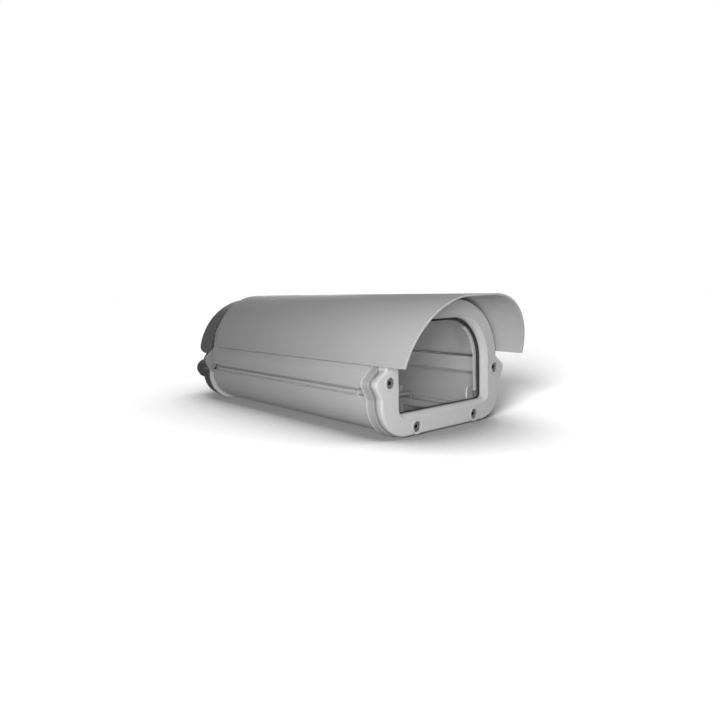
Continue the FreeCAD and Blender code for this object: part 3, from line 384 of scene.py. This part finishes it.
# %% Make the soft and moulded finishes
rubber_grain = {"grain_mm": 0.8, "grain_depth": 0.03}
nylon_grain = {"grain_mm": 1.0, "grain_depth": 0.03}
smooth_grain = {"grain_mm": 1.2, "grain_depth": 0.02}
plastics = {
    "rubber": finish("seal_rubber", grey(0.04), roughness=0.75, painted_highlight=1.0, **rubber_grain),
    "nylon": finish("dark_nylon", (0.075, 0.075, 0.078), roughness=0.48, **nylon_grain),
    "terminal": finish("pale_plastic", (0.66, 0.66, 0.63), roughness=0.4, **smooth_grain),
    "tape": finish("grey_tape", grey(0.62), roughness=0.6, crevice=1.0, **smooth_grain),
}
finishes.update(plastics)
print("finishes so far:", len(finishes))

# %% [markdown]
# ## The window glass
# The pane is a real slab of clear glass, so it needs little more than transmission and a low roughness.
# Light from a lamp doesn't get through such a slab in a render, and the inside would stay black. So for rays
# on their way to a lamp the pane counts as clear, through a Mix Shader driven by Light Path.

# %% Make the glass
let_through = 0.66
glass = bpy.data.materials.new("clear_glass")
glass.use_nodes = True
tree = glass.node_tree
pane = tree.nodes["Principled BSDF"]
pane.inputs["Base Color"].default_value = (0.9, 0.9, 0.9, 1)
pane.inputs["Roughness"].default_value = 0.02
pane.inputs["IOR"].default_value = 1.5
pane.inputs["Transmission Weight"].default_value = 1.0
clear = shader_node(tree, "BsdfTransparent")
clear.inputs["Color"].default_value = (let_through, let_through, let_through, 1)
choice = shader_node(tree, "MixShader")
tree.links.new(shader_node(tree, "LightPath").outputs["Is Shadow Ray"], choice.inputs[0])
tree.links.new(pane.outputs[0], choice.inputs[1])
tree.links.new(clear.outputs[0], choice.inputs[2])
tree.links.new(choice.outputs[0], tree.nodes["Material Output"].inputs["Surface"])
finishes["glass"] = glass
print("glass made, it lets", round(100 * let_through), "percent of a lamp's light through")

# %% [markdown]
# ## Dressing the pieces
# Every piece of the construction model gets one of the finishes. A table from finish to pieces is easy to
# read and to change, and the count at the end shows whether a piece was forgotten.

# %% Give each piece its finish
finish_of = {
    "cover": ["upper_shell"],
    "body": ["lower_shell"],
    "sheet": ["sunshield"],
    "cast": ["front_cap"],
    "frame_cast": ["front_frame"],
    "rear_cast": ["rear_frame"],
    "hood": ["rear_cap"],
    "black_steel": ["front_cap_screws", "rear_cap_screws"],
    "zinc": ["glass_clips"],
    "steel": [
        "glass_clip_screws",
        "bracket_plate_screws",
        "terminal_block_screws",
        "closing_screw_front",
        "closing_screw_rear",
        "shield_screws",
        "sled_lock_screws",
        "camera_screw",
    ],
    "aluminium": ["bracket_plate", "shield_nuts", "camera_sled"],
    "brass": ["terminal_screws", "earth_screw"],
    "rubber": [
        "front_gasket",
        "rear_gasket",
        "front_arch_seal",
        "rear_arch_seal",
        "joint_seal",
        "window_gasket",
        "gland_washers",
        "gland_inserts",
    ],
    "nylon": ["gland_bodies", "gland_locknuts", "gland_nut_left", "gland_nut_middle", "gland_nut_right"],
    "terminal": ["terminal_block"],
    "glass": ["window_glass"],
}
for kind, names in finish_of.items():
    for name in names:
        mesh = nodes[name].data
        mesh.materials.clear()
        mesh.materials.append(finishes[kind])
print("dressed", sum(len(names) for names in finish_of.values()), "of", len(nodes), "pieces")

# %% [markdown]
# ## Two steps that every added piece needs
# The pieces that are added below all start as a flat face. The first helper extrudes that face along the
# housing and turns the normals outwards. The second makes the result an object with a finish, and lets it
# ride on the housing.

# %% Make the helpers for added pieces
added = []


def pull(mesh, length):
    grown = bmesh.ops.extrude_face_region(mesh, geom=mesh.faces[:], use_keep_orig=True)["geom"]
    moved = [part for part in grown if isinstance(part, bmesh.types.BMVert)]
    bmesh.ops.translate(mesh, verts=moved, vec=(0, length, 0))
    bmesh.ops.recalc_face_normals(mesh, faces=mesh.faces)


def housing_piece(mesh, name, finish_name):
    data = bpy.data.meshes.new(name)
    mesh.to_mesh(data)
    mesh.free()
    data.materials.append(finishes[finish_name])
    piece = bpy.data.objects.new(name, data)
    bpy.context.collection.objects.link(piece)
    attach(piece, "housing")
    added.append(piece)
    print(name, "has", len(data.polygons), "faces")
    return piece


print("helpers for added pieces ready")

# %% [markdown]
# ## The outline of the window
# The opening is a little smaller than the glass, which lies behind its rim on all sides. Its outline is a
# rectangle of four corners that bevel rounds, far at the top for the arch and little at the bottom.

# %% Draw the outline of the opening
pane_low, pane_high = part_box("window_glass")
glass_overlap = 2.2 * MM
arch_flat = 28 * MM
lower_corner = 4 * MM
opening_half = pane_high.x - glass_overlap
opening_low = pane_low.z + glass_overlap
opening_high = pane_high.z - glass_overlap


def round_corners(mesh, corners, radius):
    bmesh.ops.bevel(
        mesh,
        geom=corners,
        offset=radius,
        offset_type="OFFSET",
        affect="VERTICES",
        segments=12,
        profile=0.5,
        material=-1,
        clamp_overlap=False,
    )


def opening_face(mesh, grow, depth):
    half, low, high = opening_half + grow, opening_low - grow, opening_high + grow
    outline = ((half, low), (half, high), (-half, high), (-half, low))
    corners = [mesh.verts.new((x, depth, z)) for x, z in outline]
    mesh.faces.new(corners)
    round_corners(mesh, corners[1:3], half - arch_flat / 2)
    round_corners(mesh, [corners[0], corners[3]], lower_corner + grow)
    return mesh.faces[:][0]


print("opening is", round(2 * opening_half / MM, 1), "mm wide")

# %% [markdown]
# ## A band that follows the outline
# The lip of the seal and the tape beside the glass both follow the opening. An inset keeps the width of such
# a band even round every bend, where scaling a copy of the outline would thin it. Then the face in the middle
# goes. The inner outline may sink a little first, which makes the band wider above and thinner below.


# %% Make a flat band
def opening_band(grow, width, depth, sink=0.0):
    mesh = bmesh.new()
    middle = opening_face(mesh, grow, depth)
    bmesh.ops.inset_region(mesh, faces=[middle], thickness=width, use_boundary=True, use_even_offset=True)
    bmesh.ops.translate(mesh, verts=middle.verts[:], vec=(0, 0, -sink))
    bmesh.ops.delete(mesh, geom=[middle], context="FACES_ONLY")
    return mesh


print("band helper for the window ready")

# %% [markdown]
# ## The lip of the window seal
# A window seal of this kind ends in a soft lip that shows as a dark line round the pane. It is widest under
# the arch and thin along the bottom, so its black also paints the shade under the top of the opening. It
# stands just in front of the glass. A Bevel modifier softens its edges, since rubber is never sharp.

# %% Lay the lip
hair_gap = 0.02 * MM
lip_width, lip_sink, lip_reach = 1.3 * MM, 0.8 * MM, 2.4 * MM
lip_front, lip_back = pane_low.y - lip_reach, pane_low.y - hair_gap
mesh = opening_band(0.0, lip_width, lip_front, lip_sink)
pull(mesh, lip_back - lip_front)
lip = housing_piece(mesh, "window_seal_lip", "rubber")
rounded = lip.modifiers.new("rounded", "BEVEL")
rounded.width = 0.2 * MM
rounded.segments = 3
rounded.limit_method = "ANGLE"
widths = [round((lip_width + shift) / MM, 1) for shift in (lip_sink, -lip_sink)]
print("lip in mm, under the arch and along the bottom:", widths)

# %% [markdown]
# ## The tape beside the glass
# A pale strip of tape runs up each side of the glass at its back, just inside the lip. It is the same band,
# cut off above the lower corners and below the top of the arch by two bisect planes.

# %% Lay the tape
tape_grow, tape_width, tape_thickness = 0.5 * MM, 4.2 * MM, 0.1 * MM
tape_front = pane_high.y + hair_gap
tape_low, tape_high = opening_low + 6 * MM, opening_high - 9 * MM
mesh = opening_band(tape_grow, tape_width, tape_front)
for z, below in ((tape_low, True), (tape_high, False)):
    bmesh.ops.bisect_plane(
        mesh,
        geom=mesh.verts[:] + mesh.edges[:] + mesh.faces[:],
        plane_co=(0, 0, z),
        plane_no=(0, 0, 1),
        clear_inner=below,
        clear_outer=not below,
    )
pull(mesh, tape_thickness)
housing_piece(mesh, "window_tape", "tape")
print("tape is", round((tape_high - tape_low) / MM), "mm high")

# %% [markdown]
# ## A trim on the inner wall
# Inside, a thin wall stands up behind the closing side, and a rubber trim covers its cut edge. Through the
# window it shows as a dark line along the far side, and its black also paints the shade of the gap above the
# wall. It is a plain rod, so a circle that is extruded along the housing makes it.

# %% Lay the trim
shell_low, shell_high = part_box("lower_shell")
wall_x, trim_radius, trim_drop = 57.3 * MM, 1.3 * MM, 0.3 * MM
trim_start, trim_end = shell_low.y + 3 * MM, shell_high.y - 4 * MM
trim_place = Matrix.Translation((wall_x, trim_start, shell_high.z - trim_drop))
across = trim_place @ Matrix.Rotation(math.radians(90), 4, "X")
mesh = bmesh.new()
bmesh.ops.create_circle(mesh, cap_ends=True, segments=16, radius=trim_radius, matrix=across)
pull(mesh, trim_end - trim_start)
trim = housing_piece(mesh, "inner_wall_trim", "rubber")
print("trim is", round(trim.dimensions.y / MM), "mm long")

# %% [markdown]
# ## The floor
# The picture has a white ground with a soft grey shadow round the object. One large square is enough for
# that.

# %% Lay the floor
floor_half = 6
floor_mesh = bmesh.new()
bmesh.ops.create_grid(floor_mesh, x_segments=1, y_segments=1, size=floor_half)
floor_data = bpy.data.meshes.new("floor")
floor_mesh.to_mesh(floor_data)
floor_mesh.free()
floor = bpy.data.objects.new("floor", floor_data)
bpy.context.collection.objects.link(floor)
print("floor is", 2 * floor_half, "m wide")

# %% [markdown]
# ## White for the camera, dim for the paint
# A white room throws so much light on the paint that its own shading is lost. So the ground and the world are
# white only for rays that come from the camera, and for those that have passed through glass. Mirrored rays
# get a share of it. Every other ray finds a dim room, so the lamps alone shape the object.

# %% Tell which rays see white
mirrored_share = 0.3


def seen_ray(tree):
    path = shader_node(tree, "LightPath").outputs
    mirrored = combined(tree, "MULTIPLY", path["Is Glossy Ray"], mirrored_share)
    indirect = combined(tree, "MAXIMUM", mirrored, path["Is Transmission Ray"])
    return combined(tree, "MAXIMUM", path["Is Camera Ray"], indirect)


print("share of the white that a mirrored ray sees:", mirrored_share)

# %% [markdown]
# ## The ground
# The ground's white fades where the object is near, which an ambient occlusion node with a long reach can
# tell. That makes the soft contact shadow of a studio picture. A little glow is added to the white part only,
# so the far floor reaches full white without more lamps.

# %% Make the ground
shadow_reach = 180 * MM
most_closed = 0.42
ground_dim, ground_white, ground_glow = 0.18, 0.8, 0.22
ground = bpy.data.materials.new("white_ground")
ground.use_nodes = True
tree = ground.node_tree
matt = tree.nodes["Principled BSDF"]
matt.inputs["Roughness"].default_value = 1.0
matt.inputs["Specular IOR Level"].default_value = 0.0
openness = shader_node(tree, "AmbientOcclusion", samples=16)
openness.inputs["Distance"].default_value = shadow_reach
away = mapped(tree, openness.outputs["AO"], (most_closed, 1.0), (0.0, 1.0))
shown = combined(tree, "MULTIPLY", seen_ray(tree), away)
tree.links.new(mapped(tree, shown, (0.0, 1.0), (ground_dim, ground_white)), matt.inputs["Base Color"])
glow = shader_node(tree, "Emission")
tree.links.new(combined(tree, "MULTIPLY", shown, ground_glow), glow.inputs["Strength"])
both = shader_node(tree, "AddShader")
tree.links.new(matt.outputs[0], both.inputs[0])
tree.links.new(glow.outputs[0], both.inputs[1])
tree.links.new(both.outputs[0], tree.nodes["Material Output"].inputs["Surface"])
floor_data.materials.append(ground)
print("ground made, its shadow reaches", round(shadow_reach / MM), "mm")

# %% [markdown]
# ## The world
# The backdrop is the world itself, white where the camera looks and dim for all else.

# %% Make the world
world_dim, world_white = 0.12, 1.0
world = bpy.data.worlds.new("studio")
bpy.context.scene.world = world
world.use_nodes = True
tree = world.node_tree
sky = tree.nodes["Background"]
sky.inputs["Color"].default_value = (1, 1, 1, 1)
tree.links.new(mapped(tree, seen_ray(tree), (0.0, 1.0), (world_dim, world_white)), sky.inputs["Strength"])
print("world made, its dim level is", world_dim)

# %% [markdown]
# ## The main lamps
# The main lamp is small and hangs near the camera. Light falls off fast from a near lamp, so the front is
# bright and the rear is dim, as in the picture. A larger and weaker one fills the far side of the front. The
# places of lamps are written in metres.


# %% Hang the main lamps
def soft_lamp(name, place, aim, size, power):
    lamp = bpy.data.lights.new(name, "AREA")
    lamp.shape = "SQUARE"
    lamp.size = size
    lamp.energy = power
    holder = bpy.data.objects.new(name, lamp)
    bpy.context.collection.objects.link(holder)
    holder.location = place
    holder.rotation_mode = "QUATERNION"
    holder.rotation_quaternion = (aim - place).to_track_quat("-Z", "Y")
    return holder


aim_height = 50 * MM
front_middle = Vector((0, flange_y, aim_height))
main_place = Vector((-0.347, flange_y - 0.26, 0.125))
side_place = Vector((0.6, flange_y - 0.4, 0.4))
soft_lamp("main", main_place, front_middle, size=0.16, power=1.75)
soft_lamp("side_fill", side_place, front_middle, size=0.5, power=1.2)
print("main lamp is", round((main_place - camera.location).length / MM), "mm from the camera")

# %% [markdown]
# ## Fills for the object only
# Light linking says which objects a lamp reaches. Three fills light the object from the right, the rear and
# the top, so that it reads well from every side, while the floor keeps its shadow.

# %% Hang the fills
object_only = bpy.data.collections.new("object_only")
for piece in list(nodes.values()) + added:
    object_only.objects.link(piece)
for name, place, power in (
    ("right_fill", Vector((0.62, 0.05, 0.16)), 2.2),
    ("rear_fill", Vector((0.35, 0.75, 0.17)), 2.6),
    ("top_fill", Vector((0.02, -0.1, 1.2)), 1.3),
):
    holder = soft_lamp(name, place, Vector((0, 0, aim_height)), size=0.45, power=power)
    holder.light_linking.receiver_collection = object_only

# %% [markdown]
# ## A low sun for the floor
# The picture's own shadow is soft and lies behind the object. A low sun that reaches only the floor draws it,
# and leaves the object's shading to the lamps.

# %% Hang the sun
sun_direction = Vector((0.9, 0.42, -0.24))
floor_light = bpy.data.lights.new("floor_light", "SUN")
floor_light.energy = 12.0
floor_light.angle = math.radians(22)
floor_sun = bpy.data.objects.new("floor_light", floor_light)
bpy.context.collection.objects.link(floor_sun)
floor_sun.rotation_mode = "QUATERNION"
floor_sun.rotation_quaternion = sun_direction.to_track_quat("-Z", "Y")
floor_only = bpy.data.collections.new("floor_only")
floor_only.objects.link(floor)
floor_sun.light_linking.receiver_collection = floor_only
sun_height = math.degrees(math.asin(-sun_direction.normalized().z))
print("sun stands", round(sun_height), "degrees above the floor")

# %% [markdown]
# ## Finish
# The view transform stays plain, so a colour renders as it is written. The dressed model must stay inside
# the construction model.

# %% Finish
bpy.context.scene.view_settings.view_transform = "Standard"
